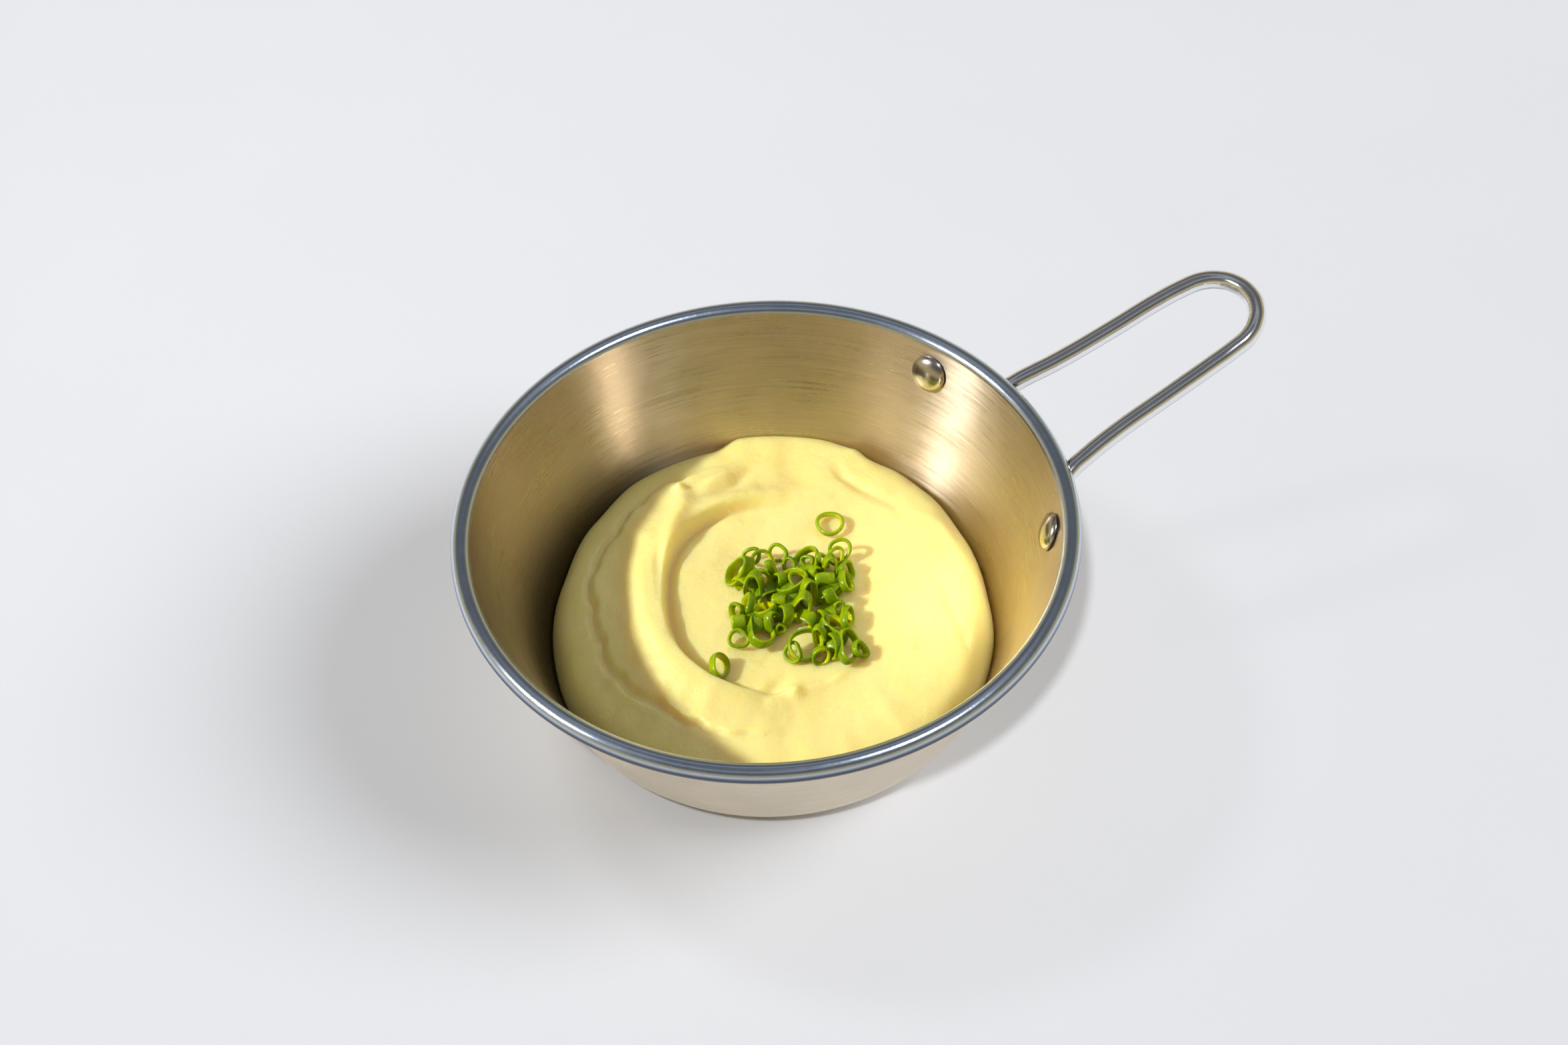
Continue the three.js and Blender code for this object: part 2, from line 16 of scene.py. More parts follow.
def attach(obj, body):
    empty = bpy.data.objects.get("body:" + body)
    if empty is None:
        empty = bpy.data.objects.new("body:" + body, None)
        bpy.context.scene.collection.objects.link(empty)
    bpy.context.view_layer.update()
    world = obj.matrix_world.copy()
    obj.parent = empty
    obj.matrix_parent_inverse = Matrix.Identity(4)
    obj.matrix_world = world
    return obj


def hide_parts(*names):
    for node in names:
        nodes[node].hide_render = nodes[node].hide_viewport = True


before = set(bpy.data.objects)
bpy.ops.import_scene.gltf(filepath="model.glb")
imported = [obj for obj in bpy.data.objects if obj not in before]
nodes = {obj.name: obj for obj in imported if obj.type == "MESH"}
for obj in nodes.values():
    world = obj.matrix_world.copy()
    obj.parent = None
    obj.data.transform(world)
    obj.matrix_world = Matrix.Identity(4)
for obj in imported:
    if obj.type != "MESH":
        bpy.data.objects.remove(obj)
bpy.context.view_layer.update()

MM = 0.001
print("frame:", ", ".join(sorted(nodes)))

# %% [markdown]
# ## The bowl's measures
# Only a few sizes drive the bowl: the lip's bead, the wall's slope and the rounding of
# its foot. Everything else follows from them, so the fine bowl and the food in it can
# never disagree. The food was served a little turned from the handle, which points
# along +X, so it gets axes of its own: x to the right and y away from the viewer.

# %% Measures in millimetres
SHEET = 0.8
BEAD_RADIUS = 2.0
BEAD_CENTRE = 60.5
LIP_HEIGHT = 43.0
WALL_SLOPE = 0.4
FOOT_FILLET = 18.0
CLEARANCE = 0.3

slant = math.hypot(1, WALL_SLOPE)
wall_tilt = math.atan(WALL_SLOPE)
inner_at_lip = BEAD_CENTRE - BEAD_RADIUS * slant
outer_at_lip = inner_at_lip + SHEET * slant
fillet_centre = outer_at_lip - WALL_SLOPE * (LIP_HEIGHT - FOOT_FILLET) - FOOT_FILLET * slant

SERVING_TURN = math.radians(-25.0)
serving = Matrix.Rotation(SERVING_TURN, 4, "Z")


def wall_radius(height, inset=0.0):
    """Inner radius of the bowl at heights in mm, less an inset square to the wall."""
    height = np.asarray(height, dtype=float)
    foot_radius = FOOT_FILLET - SHEET - inset
    straight = inner_at_lip - WALL_SLOPE * (LIP_HEIGHT - height) - inset * slant
    curved = fillet_centre + np.sqrt(np.maximum(foot_radius**2 - (FOOT_FILLET - height) ** 2, 0))
    return np.where(height > FOOT_FILLET * (1 - math.sin(wall_tilt)), straight, curved)


print("inner radius at the lip:", round(inner_at_lip, 2), "mm")

# %% [markdown]
# ## Camera
# The picture looks down at 49 degrees, over the near lip and into the bowl, with the
# handle to the right and a little away. The lens is a long one, so the far lip is hardly
# smaller than the near one. The camera is placed by its turn round the bowl, its height
# angle, its roll and its distance, and then swung until the lip's centre falls where the
# picture has it. A tracking constraint could aim it too, but it leaves the roll unclear.

# %% Camera
IMAGE_WIDTH = 2352
FOCAL_PIXELS = 5553.0
CAMERA_TURN = math.radians(-25.1)
CAMERA_ELEVATION = math.radians(49.13)
CAMERA_ROLL = math.radians(3.13)
CAMERA_DISTANCE = 733.0
LIP_CENTRE_RIGHT = -27.2
LIP_CENTRE_DOWN = 9.9

back = Vector((0, -math.cos(CAMERA_ELEVATION), math.sin(CAMERA_ELEVATION)))
right = Vector((1, 0, 0))
up = back.cross(right)
rolled_right = right * math.cos(CAMERA_ROLL) - up * math.sin(CAMERA_ROLL)
rolled_up = right * math.sin(CAMERA_ROLL) + up * math.cos(CAMERA_ROLL)
level = Matrix((rolled_right, rolled_up, back)).transposed()
towards_lip = Vector((LIP_CENTRE_RIGHT, -LIP_CENTRE_DOWN, -FOCAL_PIXELS)).normalized()
swing = Vector((0, 0, -1)).rotation_difference(towards_lip).to_matrix()
turn = Matrix.Rotation(CAMERA_TURN, 3, "Z")

bpy.ops.object.select_all(action="DESELECT")
bpy.ops.object.camera_add()
camera = bpy.context.object
camera.name = "camera"
camera.data.sensor_fit = "HORIZONTAL"
camera.data.sensor_width = 36.0
camera.data.lens = FOCAL_PIXELS / IMAGE_WIDTH * camera.data.sensor_width
camera.data.clip_start = 0.01
place = turn @ (back * CAMERA_DISTANCE) + Vector((0, 0, LIP_HEIGHT))
camera.matrix_world = Matrix.Translation(place * MM) @ (turn @ level @ swing.transposed()).to_4x4()
bpy.context.scene.camera = camera
print("lens:", round(camera.data.lens, 1), "mm")

# %% [markdown]
# ## A short way to write shaders
# A material is a small sum: this noise, times that strength, added to a base. Dragging
# nodes by hand hides the sum, so a wrapped socket here understands plus, minus and
# times, and one method adds any other node by its type, settings and sockets.


# %% Shader helpers
class Wire:
    """An output socket that can be used in arithmetic."""

    def __init__(self, shader, socket):
        self.shader = shader
        self.socket = socket

    def _math(self, operation, first, second):
        settings = {"operation": operation}
        return self.shader.node("ShaderNodeMath", settings, {0: first, 1: second})

    def __add__(self, other):
        return self._math("ADD", self, other)

    def __sub__(self, other):
        return self._math("SUBTRACT", self, other)

    def __mul__(self, other):
        return self._math("MULTIPLY", self, other)

    __radd__ = __add__


class Shader:
    """A material with one Principled shader, built node by node."""

    def __init__(self, name, **fixed):
        self.material = bpy.data.materials.new(name)
        self.material.use_nodes = True
        self.tree = self.material.node_tree
        self.surface = self.tree.nodes["Principled BSDF"]
        for socket, value in fixed.items():
            self.surface.inputs[socket.replace("_", " ")].default_value = value

    def node(self, kind, settings, sockets, output=None):
        made = self.tree.nodes.new(kind)
        for key, value in settings.items():
            setattr(made, key, value)
        for key, value in sockets.items():
            target = made.inputs[key] if isinstance(key, int) else self.find(made.inputs, key)
            self.feed(target, value)
        source = self.find(made.outputs, output) if output else made.outputs[0]
        return Wire(self, source)

    def find(self, sockets, key):
        return next((s for s in sockets if s.identifier == key), None) or sockets[key]

    def feed(self, target, value):
        if isinstance(value, Wire):
            self.tree.links.new(value.socket, target)
        else:
            target.default_value = value

    def set(self, socket, value):
        self.feed(self.surface.inputs[socket], value)

    def place(self, scale=(1, 1, 1)):
        """Object coordinates in millimetres, stretched by a scale along each axis."""
        coordinates = self.node("ShaderNodeTexCoord", {}, {}, "Object")
        stretch = tuple(value / MM for value in scale)
        return self.node("ShaderNodeMapping", {}, {"Vector": coordinates, "Scale": stretch})

    def noise(self, vector, scale, detail=2.0, roughness=0.5):
        sockets = {"Vector": vector, "Scale": scale, "Detail": detail, "Roughness": roughness}
        return self.node("ShaderNodeTexNoise", {}, sockets, "Fac")

    def blend(self, factor, first, second):
        sockets = {"Factor_Float": factor, "A_Color": first, "B_Color": second}
        return self.node("ShaderNodeMix", {"data_type": "RGBA"}, sockets, "Result_Color")

    def bump(self, height, distance_mm, strength=1.0):
        sockets = {"Height": height, "Distance": distance_mm * MM, "Strength": strength}
        self.set("Normal", self.node("ShaderNodeBump", {}, sockets))


def rgb(red, green, blue):
    """A colour as the eye names it (0 to 255), in the linear values that shaders want."""
    return tuple((value / 255) ** 2.2 for value in (red, green, blue)) + (1.0,)


# %% [markdown]
# ## Steel
# The bowl is one sheet of stainless steel with three finishes. Inside it is brushed
# round and round, so the grain is long streaks that follow the wall at one height, and
# a light spreads into a tall stripe across them. Outside it is satin, and the rolled
# lip is polished. Scratches drawn one by one would be endless work: noise stretched
# along one direction gives the same grain, and it feeds the roughness and the bump.
# Over that lies painted shade: a dark band over the food, darkest at its left, and dark undersides.


# %% Steel finishes
ACROSS_THE_GRAIN = 0.25
# colour of the shade painted under the lip's bead
LIP_PAINTED_SHADE_COLOR = (0.02, 0.018, 0.015, 1.0)
# colour of the shade painted under the wire
WIRE_PAINTED_SHADE_COLOR = (0.02, 0.02, 0.025, 1.0)
# the painted shade fades out upwards and from the left to the middle, in millimetres
SHADE_BAND_HEIGHTS = (13, 29)
SHADE_FROM_LEFT = (-34, -4)


def tint(color, share):
    return tuple(value * share for value in color[:3]) + (1.0,)


def cover(steel, share, color):
    """Lays another colour over the steel's own, by a share that may vary."""
    own_color = Wire(steel, steel.surface.inputs["Base Color"].links[0].from_socket)
    steel.set("Base Color", steel.blend(share, own_color, color))


def fade(steel, value, full, gone):
    """1 up to one value and 0 past the other, with a soft step between them."""
    sockets = {"Value": value, "From Min": full, "From Max": gone, "To Min": 1.0, "To Max": 0.0}
    return steel.node("ShaderNodeMapRange", {"interpolation_type": "SMOOTHSTEP"}, sockets)


def brushed_steel(name, color, roughness, anisotropy, grain_mm, bump_mm):
    steel = Shader(name, Metallic=1.0, Anisotropic=anisotropy, Anisotropic_Rotation=ACROSS_THE_GRAIN)
    streaks = steel.noise(steel.place((0.012, 0.012, 1.0)), 1 / grain_mm, 3.0, 0.65)
    hairs = steel.noise(steel.place((0.03, 0.03, 1.0)), 2.4 / grain_mm, 2.0, 0.5)
    clouds = steel.noise(steel.place(), 0.09, 3.0)
    steel.set("Roughness", roughness + (streaks - 0.5) * 0.2 + (clouds - 0.5) * 0.12)
    brushed = streaks + (hairs - 0.5) * 0.9 + (clouds - 0.5) * 0.7
    steel.set("Base Color", steel.blend(brushed, tint(color, 0.72), tint(color, 1.05)))
    steel.bump(streaks + hairs * 0.5, bump_mm)
    return steel


def paint_shade_over_food(steel, color):
    """Paints shade into the wall's colour: a dark band over the food, darkest at its left, where the
    wall is painted darker all the way up.
    """
    where = {"Vector": steel.place()}
    x, y, height = (steel.node("ShaderNodeSeparateXYZ", {}, where, axis) for axis in "XYZ")
    rightwards = x * math.cos(SERVING_TURN) + y * math.sin(SERVING_TURN)
    left = fade(steel, rightwards, *SHADE_FROM_LEFT)
    low = fade(steel, height, *SHADE_BAND_HEIGHTS)
    cover(steel, left * (low * 0.5 + 0.34) + low * 0.12, tint(color, 0.16))


def polished_steel(name, color, roughness):
    """Mirror-like steel with faint smears and tiny dents."""
    steel = Shader(name, Metallic=1.0)
    smears = steel.noise(steel.place(), 0.25, 4.0, 0.6)
    specks = steel.noise(steel.place(), 1.4, 2.0, 0.6)
    steel.set("Roughness", roughness + (smears - 0.5) * 0.08)
    steel.set("Base Color", steel.blend(smears, tint(color, 0.85), color))
    steel.bump(specks, 0.014)
    return steel


def paint_shade_under_lip(steel):
    """Paints shade and a dark reflection into the lower half of the lip's bead."""
    height = steel.node("ShaderNodeSeparateXYZ", {}, {"Vector": steel.place()}, "Z")
    cover(steel, fade(steel, height, LIP_HEIGHT, LIP_HEIGHT + 1.2) * 0.9, LIP_PAINTED_SHADE_COLOR)


def paint_shade_under_wire(steel):
    """Paints shade and a dark reflection into the side of the wire that faces down."""
    normal = steel.node("ShaderNodeNewGeometry", {}, {}, "Normal")
    upward = steel.node("ShaderNodeSeparateXYZ", {}, {"Vector": normal}, "Z")
    cover(steel, fade(steel, upward, -0.6, -0.05) * 0.85, WIRE_PAINTED_SHADE_COLOR)


INSIDE_COLOR = rgb(238, 220, 194)
GRAIN_MM = 0.4
inside_steel = brushed_steel("steel_brushed_inside", INSIDE_COLOR, 0.3, 0.93, GRAIN_MM, 0.01)
# shade painted into the inner wall's colour over the food, darkest at the left
paint_shade_over_food(inside_steel, INSIDE_COLOR)
outside_steel = brushed_steel("steel_satin_outside", rgb(230, 218, 197), 0.4, 0.5, GRAIN_MM, 0.01)
lip_steel = polished_steel("steel_polished_lip", rgb(216, 230, 250), 0.2)
# shade and a dark reflection painted into the lip's underside
paint_shade_under_lip(lip_steel)
wire_steel = polished_steel("steel_polished_wire", rgb(250, 252, 255), 0.12)
# shade and a dark reflection painted into the wire's underside
paint_shade_under_wire(wire_steel)
rivet_steel = polished_steel("steel_polished_rivet", rgb(214, 208, 196), 0.2)
print("steel finishes:", len(bpy.data.materials))

# %% [markdown]
# ## The bowl
# A bowl like this is spun or pressed from a flat disc, and the model is made the same
# way: a disc for the foot, whose edge is pulled out and up ring by ring, over the lip
# and down the inside. A lathe modifier would need a profile first; pulling the rings
# needs only the next radius and height, which the measures above give.


# %% Helpers for pulling rings
def start(name):
    """Names the new active object and gives it back."""
    made = bpy.context.object
    made.name = name
    made.data.name = name
    return made


def leave_edit():
    bpy.ops.object.mode_set(mode="OBJECT")


def add_finish(piece, *finishes):
    for finish in finishes:
        piece.data.materials.append(finish.material)


def arc(centre_r, centre_z, radius, start_angle, end_angle, steps):
    angles = np.linspace(start_angle, end_angle, steps + 1)
    return [(centre_r + radius * math.cos(a), centre_z + radius * math.sin(a)) for a in angles]


def pull_rings(profile, segments):
    """A disc at the profile's first radius and height (mm), pulled on along the rest."""
    radius, height = profile[0]
    bpy.ops.object.select_all(action="DESELECT")
    bpy.ops.mesh.primitive_circle_add(
        vertices=segments, radius=radius * MM, fill_type="NGON", location=(0, 0, height * MM)
    )
    bpy.ops.object.transform_apply(location=True, rotation=False, scale=False)
    bpy.ops.object.mode_set(mode="EDIT")
    bpy.ops.mesh.select_all(action="SELECT")
    bpy.ops.mesh.select_mode(type="EDGE")
    bpy.ops.mesh.region_to_loop()
    for next_radius, next_height in profile[1:]:
        lift = (0, 0, (next_height - height) * MM)
        bpy.ops.mesh.extrude_edges_move(TRANSFORM_OT_translate={"value": lift})
        grow = next_radius / radius
        bpy.ops.transform.resize(value=(grow, grow, 1), center_override=(0, 0, next_height * MM))
        radius, height = next_radius, next_height
    bpy.ops.mesh.edge_face_add()
    bpy.ops.mesh.select_all(action="SELECT")
    bpy.ops.mesh.normals_make_consistent(inside=False)
    leave_edit()


# %% Pull the bowl
BOWL_SEGMENTS = 192
under_lip = math.acos((BEAD_RADIUS - SHEET) / BEAD_RADIUS)
wall_side = math.pi - wall_tilt
bowl_profile = arc(fillet_centre, FOOT_FILLET, FOOT_FILLET, -math.pi / 2, -wall_tilt, 16)
bowl_profile += arc(
    BEAD_CENTRE, LIP_HEIGHT, BEAD_RADIUS, wall_side + under_lip - 2 * math.pi, wall_side, 28
)
bowl_profile += arc(
    fillet_centre, FOOT_FILLET, FOOT_FILLET - SHEET, -wall_tilt, -math.pi / 2, 16
)
pull_rings(bowl_profile, BOWL_SEGMENTS)
bowl = start("steel_bowl")
print("bowl rings:", len(bowl_profile), "faces:", len(bowl.data.polygons))

# %% Give each stretch of the bowl its finish
OUTSIDE, LIP, INSIDE = range(3)
add_finish(bowl, outside_steel, lip_steel, inside_steel)
for face in bowl.data.polygons:
    across = math.hypot(face.center.x, face.center.y) / MM
    from_bead = math.hypot(across - BEAD_CENTRE, face.center.z / MM - LIP_HEIGHT)
    outward = face.normal.x * face.center.x + face.normal.y * face.center.y
    if from_bead < BEAD_RADIUS + 0.02:
        face.material_index = LIP
    elif face.normal.z > 0.05 or (outward < 0 and across > 1):
        face.material_index = INSIDE
    else:
        face.material_index = OUTSIDE
bpy.ops.object.shade_smooth_by_angle(angle=math.radians(40))
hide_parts("bowl")
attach(bowl, "root")

# %% [markdown]
# ## The handle
# The handle is a single wire, bent to a long narrow U that rises away from the bowl. Its
# legs splay out under the lip, run along the wall and end in two tongues hammered flat
# for the rivets. A curve with a round bevel is the natural model of a bent wire, since
# its points are the bends; the tongues are then pressed flat in the mesh.

# %% The wire's course in millimetres
WIRE_RADIUS = 1.9
RIVET_TURN = math.radians(26)
RIVET_DROP = 4.8
PADDLE_DROP = 5.4
PADDLE_HALF_LENGTH = 4.4
PADDLE_HALF_WIDTH = 3.0
PADDLE_HALF_THICKNESS = 1.1
PADDLE_NECK = 5.0
LEG_REACH = 102.0
BEND_RADIUS = 9.9
BEND_RISE = 0.23
BEND_LIFT = 8.1


def outer_radius(height):
    return outer_at_lip - WALL_SLOPE * (LIP_HEIGHT - height)


paddle_height = LIP_HEIGHT - PADDLE_DROP
paddle_radius = outer_radius(paddle_height) + (CLEARANCE + PADDLE_HALF_THICKNESS) * slant
paddle_turn = Matrix.Rotation(RIVET_TURN, 3, "Z")
paddle = paddle_turn @ Vector((paddle_radius, 0, paddle_height))
along_wall = paddle_turn @ Vector((0, 1, 0))
wire_half = [
    paddle + along_wall * PADDLE_HALF_LENGTH,
    paddle,
    Vector((56.9, 18.6, LIP_HEIGHT - 4.9)),
    Vector((60.2, 14.2, LIP_HEIGHT - 4.4)),
    Vector((62.6, 13.0, LIP_HEIGHT - 3.7)),
    Vector((65.8, 12.5, LIP_HEIGHT - 2.5)),
    Vector((73.3, 11.5, LIP_HEIGHT - 0.3)),
    Vector((86.0, 10.8, LIP_HEIGHT + 3.4)),
    Vector((96.0, 10.4, LIP_HEIGHT + 6.5)),
]
for degrees in (0, 22.5, 45, 67.5, 90):
    angle = math.radians(degrees)
    x = LEG_REACH + BEND_RADIUS * math.sin(angle)
    y = BEND_RADIUS * math.cos(angle)
    wire_half.append(Vector((x, y, LIP_HEIGHT + BEND_LIFT + BEND_RISE * (x - LEG_REACH))))
wire_course = wire_half + [Vector((p.x, -p.y, p.z)) for p in reversed(wire_half[:-1])]
print("wire points:", len(wire_course))

# %% Bend the wire
bpy.ops.object.select_all(action="DESELECT")
bpy.ops.curve.primitive_bezier_curve_add(location=(0, 0, 0))
wire = bpy.context.object
spline = wire.data.splines[0]
spline.bezier_points.add(len(wire_course) - len(spline.bezier_points))
for bend, point in zip(spline.bezier_points, wire_course):
    bend.co = point * MM
    bend.handle_left_type = "AUTO"
    bend.handle_right_type = "AUTO"
    bend.radius = 1.0
wire.data.resolution_u = 14
wire.data.bevel_resolution = 8
wire.data.bevel_depth = WIRE_RADIUS * MM
wire.data.use_fill_caps = True
bpy.ops.object.convert(target="MESH")
handle = start("wire_handle")
print("handle faces:", len(handle.data.polygons))

# %% Hammer its ends flat
for vertex in handle.data.vertices:
    point = vertex.co / MM
    side = 1 if point.y > 0 else -1
    middle = Vector((paddle.x, side * paddle.y, paddle.z))
    outward = Vector((math.cos(RIVET_TURN), side * math.sin(RIVET_TURN), -WALL_SLOPE)).normalized()
    along = Vector((-math.sin(RIVET_TURN), side * math.cos(RIVET_TURN), 0))
    across = outward.cross(along)
    offset = point - middle
    reach = -offset.dot(along)
    if reach < PADDLE_HALF_LENGTH + PADDLE_NECK + 2 and point.x < 62:
        past_tongue = min(max((reach - PADDLE_HALF_LENGTH + 1) / (PADDLE_NECK + 1), 0), 1)
        flat = 1 - past_tongue**2 * (3 - 2 * past_tongue)
        rounding = math.sqrt(max(1 - min(reach, 0) ** 2 / PADDLE_HALF_LENGTH**2, 0.04))
        wider = 1 + flat * (PADDLE_HALF_WIDTH * rounding / WIRE_RADIUS - 1)
        thinner = 1 + flat * (PADDLE_HALF_THICKNESS / WIRE_RADIUS - 1)
        centre_out = offset.dot(outward) * (1 - thinner)
        moved = point - outward * centre_out + across * (offset.dot(across) * (wider - 1))
        vertex.co = moved * MM
add_finish(handle, wire_steel)
bpy.ops.object.shade_smooth_by_angle(angle=math.radians(50))
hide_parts("handle")
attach(handle, "root")

# %% [markdown]
# ## The rivets
# Two rivets hold the handle. Inside the bowl each shows a wide low dome, and outside a
# smaller one where the shank was closed up. Each dome is half a ball pressed flat, cut
# off by a bisect, and the shank joins the two through the wall and the tongue.

# %% Rivets
HEAD_RADIUS = 3.9
HEAD_HEIGHT = 1.5
HEAD_CLEARANCE = 0.45
TAIL_RADIUS = 2.9
TAIL_HEIGHT = 1.1
SHANK_RADIUS = 1.3


def dome(radius, height, base, direction):
    """Half a flattened ball on a plane at the given height along Z (mm)."""
    bpy.ops.mesh.primitive_uv_sphere_add(segments=48, ring_count=24, radius=radius * MM)
    bpy.ops.object.mode_set(mode="EDIT")
    bpy.ops.mesh.select_all(action="SELECT")
    bpy.ops.mesh.bisect(
        plane_co=(0, 0, 0), plane_no=(0, 0, direction), use_fill=True, clear_inner=True
    )
    bpy.ops.mesh.select_all(action="SELECT")
    bpy.ops.transform.resize(value=(1, 1, height / radius), center_override=(0, 0, 0))
    bpy.ops.transform.translate(value=(0, 0, base * MM))
    leave_edit()
    return bpy.context.object


def make_rivet(name, node, side):
    head_base = -SHEET - HEAD_CLEARANCE
    tail_base = 2 * CLEARANCE + 2 * PADDLE_HALF_THICKNESS
    bpy.ops.object.select_all(action="DESELECT")
    head = dome(HEAD_RADIUS, HEAD_HEIGHT, head_base, -1)
    tail = dome(TAIL_RADIUS, TAIL_HEIGHT, tail_base, 1)
    bpy.ops.mesh.primitive_cylinder_add(
        vertices=24, radius=SHANK_RADIUS * MM, depth=(tail_base - head_base) * MM,
        location=(0, 0, (tail_base + head_base) / 2 * MM),
    )
    head.select_set(True)
    tail.select_set(True)
    bpy.ops.object.join()
    rivet = start(name)
    height = LIP_HEIGHT - RIVET_DROP
    radius = outer_radius(height)
    outward = Vector((math.cos(RIVET_TURN), side * math.sin(RIVET_TURN), -WALL_SLOPE)).normalized()
    level_axis = Vector((-side * math.sin(RIVET_TURN), math.cos(RIVET_TURN), 0))
    axes = Matrix((level_axis.cross(outward), level_axis, outward)).transposed()
    middle = Vector((radius * math.cos(RIVET_TURN), side * radius * math.sin(RIVET_TURN), height))
    rivet.matrix_world = Matrix.Translation(middle * MM) @ axes.to_4x4() @ rivet.matrix_world
    bpy.ops.object.transform_apply(location=True, rotation=True, scale=True)
    add_finish(rivet, rivet_steel)
    bpy.ops.object.shade_smooth_by_angle(angle=math.radians(40))
    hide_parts(node)
    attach(rivet, "root")
    return rivet


for number, side in ((1, 1), (2, -1)):
    rivet = make_rivet(f"rivet_head_{number}", f"rivet_{number}", side)
    print(rivet.name, "faces:", len(rivet.data.polygons))

# %% [markdown]
# ## The mash
# Mashed potato keeps every stroke of the spoon. Here the spoon pressed a round hollow,
# threw up a ridge along its left side that ends in a small peak, and left folds and
# faint strokes around it. The surface is a height over the plate, a sum of a few named
# strokes, so a formula moves the points of a fine ball until it fills the bowl: its
# upper part becomes the surface and its lower part lies against the wall.

# %% Strokes of the spoon, in millimetres on the serving's own axes
MASH_LEVEL = 19.5
EDGE_ROLL = 1.9
HOLLOW = {"x": 4.2, "y": 2.0, "radius": 25.3, "power": 2.4}
RIDGE_HEIGHT = 2.9
RIDGE_FACE = 0.8
RIDGE_CREASE = 0.7
RIDGE_CREASE_WIDTH = 0.6
RIDGE_TURN = 183
RIDGE_FLANK = 6.5
FOLD = {"x": 1.0, "y": 3.5, "radius": 36.8, "step": 1.7, "width": 0.7, "groove": 0.4}

# the fold's ragged edge is a sum of waves: size, how many round the bowl, and shift
FOLD_WAVES = ((0.5, 9, 0), (0.35, 23, 1), (0.2, 47, 0))

# each crest or crease: height, width, and the line that it follows
CRESTS = (
    # the ridge's rounded end, its second crest and the valley between them
    (1.7, 2.1, ((-17.2, 31.5), (-16.6, 27.0), (-18.8, 21.0), (-21.5, 14.0))),
    (0.6, 1.8, ((-24.6, 18.4), (-26.4, 8.0), (-25.6, -3.0), (-19.5, -18.5))),
    (-0.6, 0.9, ((-21.7, 19.8), (-22.4, 11.0), (-22.3, 0.3))),
    # lumps and folds beyond the ridge's end, and the soft upper wall of the hollow
    (1.1, 1.7, ((-13.0, 32.5), (-10.1, 34.2), (-5.0, 37.5))),
    (-0.9, 1.2, ((-10.5, 29.5), (-6.5, 32.0), (-2.3, 37.0))),
    (0.8, 2.4, ((-12.0, 25.5), (-3.0, 29.0), (8.0, 30.0))),
    (-0.5, 2.0, ((-13.5, 20.5), (-9.0, 23.5), (-3.0, 25.5), (4.0, 26.0))),
    # a lump at the far right, with the crease that runs round it
    (1.4, 2.4, ((17.5, 41.5), (21.8, 40.1), (23.1, 36.0))),
    (-0.9, 1.2, ((15.5, 37.0), (16.4, 34.0), (19.5, 31.0), (26.9, 24.9))),
    # faint strokes of the spoon down the right side
    (0.6, 1.5, ((30.4, 22.9), (36.1, 19.4), (39.7, 12.6), (42.2, 4.1))),
    (-0.5, 0.9, ((34.0, 4.0), (36.7, -4.0), (38.5, -9.9), (39.1, -14.0))),
    # the near edge of the hollow
    (0.9, 1.5, ((1.5, -22.8), (4.1, -23.0), (8.0, -21.8))),
    (-0.9, 1.4, ((-2.5, -24.5), (-0.3, -21.8), (2.0, -19.5))),
    (0.5, 1.0, ((7.2, -22.0), (11.2, -20.9), (13.9, -18.8), (15.4, -16.6))),
    (0.6, 1.6, ((-34.0, -14.0), (-29.5, -21.0), (-22.0, -27.0))),
)

# small points drawn up where the spoon left the mash: height, width and place
TIPS = ((1.8, 1.1, -17.6, 31.6), (1.0, 1.3, 4.1, -23.2), (0.6, 1.1, 27.7, -13.6))

# the line where the mash meets the wall: degrees round the bowl and height
TIDE = (
    (-172, 10.0), (-150, 11.5), (-115, 14.0), (-75, 15.5), (-30, 14.0), (-14, 12.0), (5, 11.0),
    (25, 12.5), (42, 14.4), (54, 15.3), (60, 14.8), (65, 16.9), (76, 17.6), (95, 17.7),
    (103, 15.3), (124, 15.4), (142, 13.3), (162, 10.9), (188, 10.0),
)


# %% The height of the mash
def smooth(low, high, value):
    share = np.clip((value - low) / (high - low), 0, 1)
    return share * share * (3 - 2 * share)


def crest(x, y, points, width):
    """1 on a broken line and 0 away from it, fading towards both of its ends."""
    nearest = np.full(np.shape(x), np.inf)
    along = np.zeros(np.shape(x))
    for i in range(len(points) - 1):
        (ax, ay), (bx, by) = points[i], points[i + 1]
        share = ((x - ax) * (bx - ax) + (y - ay) * (by - ay)) / ((bx - ax) ** 2 + (by - ay) ** 2)
        share = np.clip(share, 0, 1)
        distance = np.hypot(x - ax - share * (bx - ax), y - ay - share * (by - ay))
        closer = distance < nearest
        along = np.where(closer, (i + share) / (len(points) - 1), along)
        nearest = np.minimum(nearest, distance)
    return np.exp(-((nearest / width) ** 2)) * np.sin(np.pi * (0.12 + 0.76 * along))


def contact_height(turn_round):
    """Height at which the mash meets the wall, eased from mark to mark of the tide line."""
    degrees = (np.degrees(turn_round) - TIDE[0][0]) % 360 + TIDE[0][0]
    marks = np.array(TIDE)
    after = np.clip(np.searchsorted(marks[:, 0], degrees, side="right"), 1, len(marks) - 1)
    before = marks[after - 1]
    ahead = marks[after]
    eased = smooth(before[..., 0], ahead[..., 0], degrees)
    return before[..., 1] + (ahead[..., 1] - before[..., 1]) * eased


